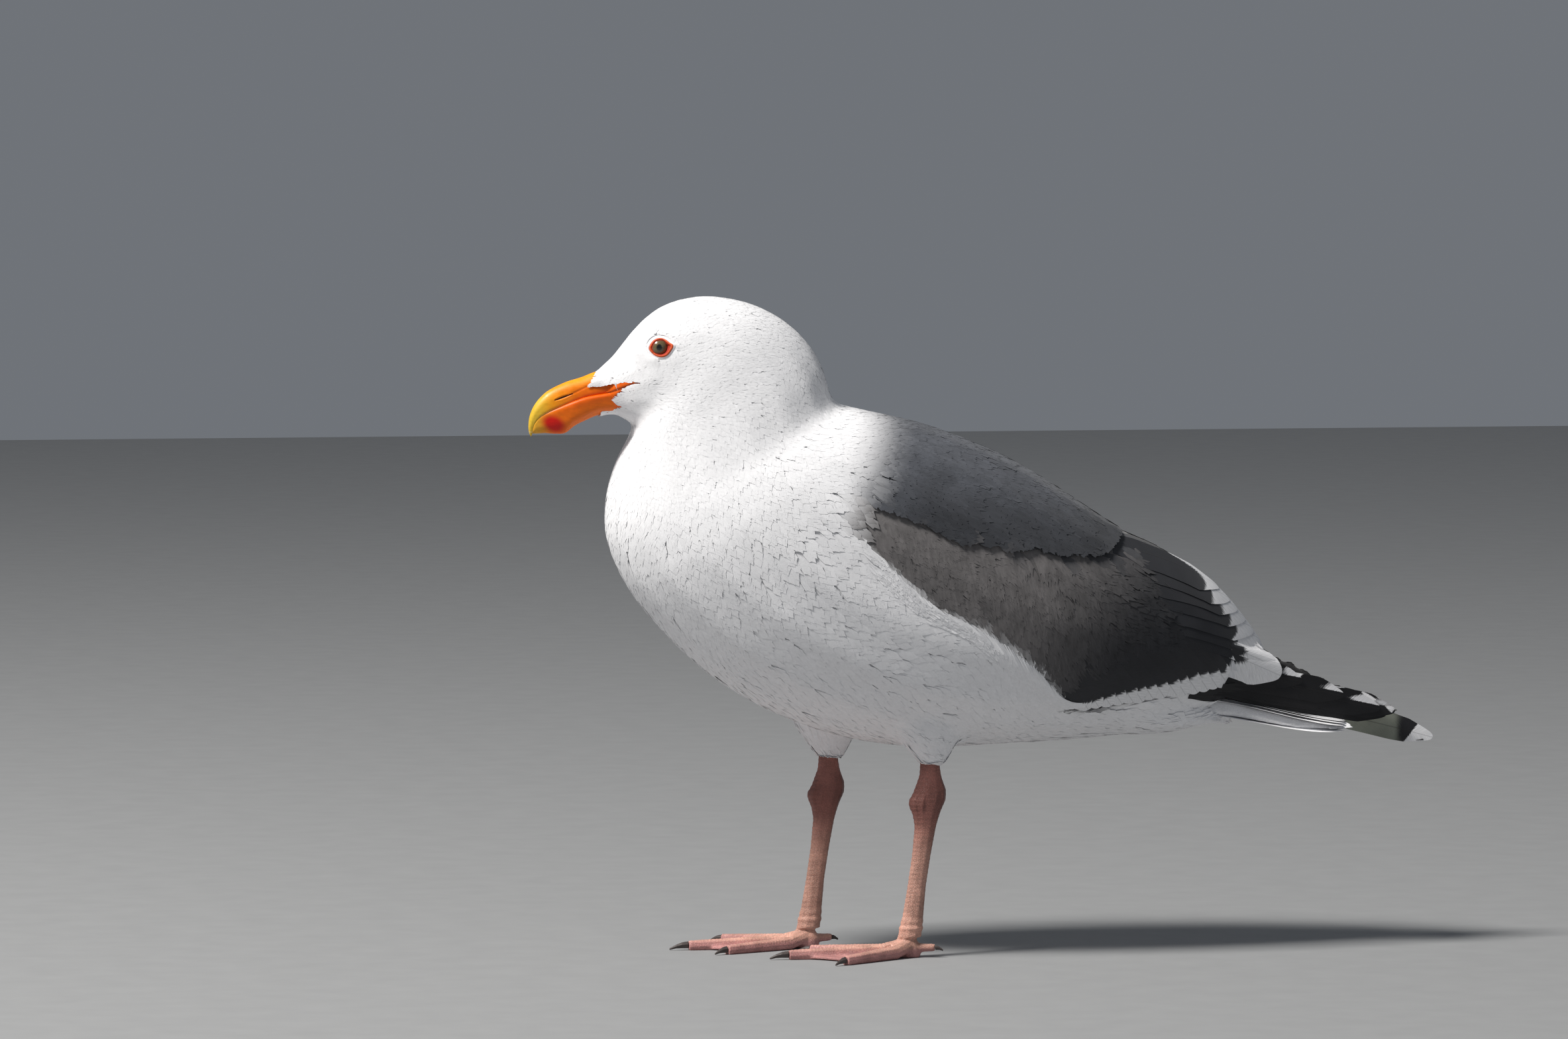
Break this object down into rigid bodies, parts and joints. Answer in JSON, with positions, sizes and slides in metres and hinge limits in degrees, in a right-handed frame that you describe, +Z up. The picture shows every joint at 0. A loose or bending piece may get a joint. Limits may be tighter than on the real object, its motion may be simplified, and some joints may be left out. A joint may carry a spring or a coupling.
{
  "type": "standing western gull",
  "caption": "Adult western gull standing at rest on both webbed feet, neck drawn in and wings folded, bill level; a still, life-size animal model.",
  "frame": {"origin": "on the floor under the middle of the bird's bounding box", "axes": "+X from the bill to the tail, +Y towards the bird's right side, +Z up"},
  "size_m": [0.525, 0.1396, 0.3745],
  "materials": {
    "plumage_white": "matte",
    "rump_white": "matte",
    "tail_white": "matte",
    "plumage_grey": "matte",
    "plumage_black": "satin",
    "bill": "satin",
    "eye": "gloss",
    "eyelid": "satin",
    "leg_skin": "satin",
    "claw": "satin"
  },
  "bodies": {
    "root": {"head": "plumage_white", "neck": "plumage_white", "trunk": "plumage_white", "rump": "rump_white", "mantle": "plumage_grey", "tail": "tail_white", "bill_upper": "bill", "bill_lower": "bill", "wing_left": "plumage_grey", "primaries_left": "plumage_black", "eye_left": "eye", "eyelid_left": "eyelid", "thigh_left": "plumage_white", "leg_left": "leg_skin", "foot_left": "leg_skin", "claw_left_inner": "claw", "claw_left_middle": "claw", "claw_left_outer": "claw", "claw_left_hind": "claw", "wing_right": "plumage_grey", "primaries_right": "plumage_black", "eye_right": "eye", "eyelid_right": "eyelid", "thigh_right": "plumage_white", "leg_right": "leg_skin", "foot_right": "leg_skin", "claw_right_inner": "claw", "claw_right_middle": "claw", "claw_right_outer": "claw", "claw_right_hind": "claw"}
  },
  "joints": []
}
